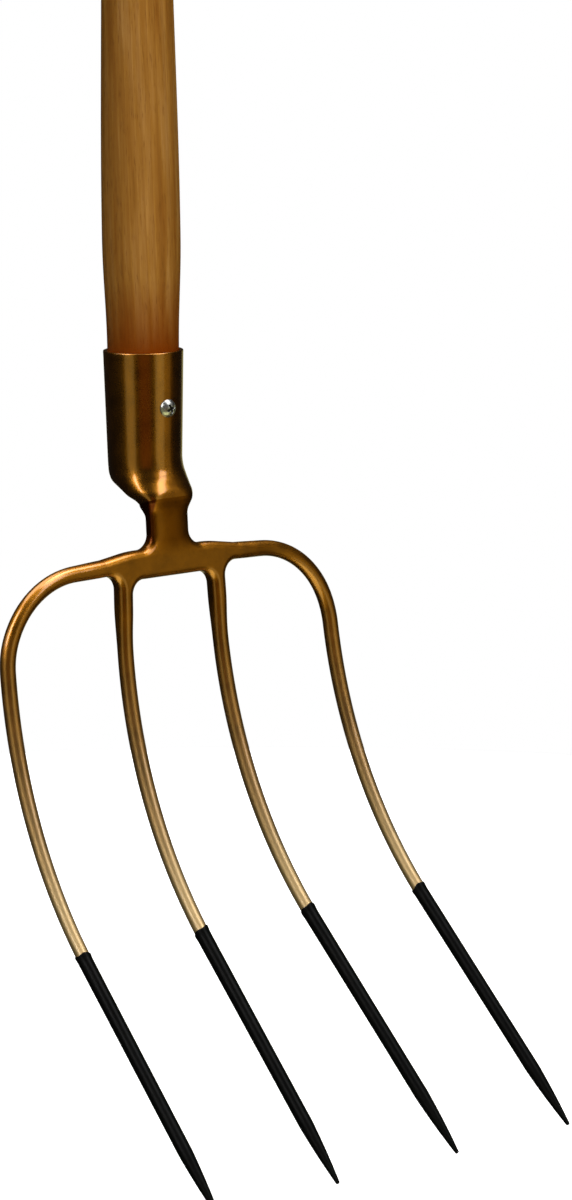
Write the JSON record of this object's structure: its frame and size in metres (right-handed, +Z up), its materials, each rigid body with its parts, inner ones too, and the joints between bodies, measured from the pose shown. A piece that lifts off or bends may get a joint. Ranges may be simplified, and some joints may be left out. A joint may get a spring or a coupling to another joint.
{
  "type": "manure fork",
  "caption": "Long-handled manure fork with a turned wooden handle, a conical steel socket, a flat forged shoulder and curved pointed tines dipped in black.",
  "frame": {"origin": "on the handle's axis, where the lower hand holds the straight grip, 60 mm above its lower end", "axes": "+Z up along the handle, away from the tines; -Y to the hollow front of the tines; +X to the right as seen from the front"},
  "size_m": [0.2216, 0.2043, 1.6703],
  "materials": {
    "ash_wood": "oiled turned wood with lengthwise grain",
    "bronze_lacquer": "gold-bronze lacquer over forged steel, satin gloss",
    "zinc": "zinc plated",
    "black_dip": "semi-gloss black enamel dip"
  },
  "bodies": {
    "root": {"handle": "ash_wood", "socket": "bronze_lacquer", "socket_weld": "bronze_lacquer", "fixing_screw": "zinc", "head_forging": "bronze_lacquer", "tine_left_outer": "bronze_lacquer", "tine_left_inner": "bronze_lacquer", "tine_right_inner": "bronze_lacquer", "tine_right_outer": "bronze_lacquer", "tip_coat_left_outer": "black_dip", "tip_coat_left_inner": "black_dip", "tip_coat_right_inner": "black_dip", "tip_coat_right_outer": "black_dip"}
  },
  "joints": []
}
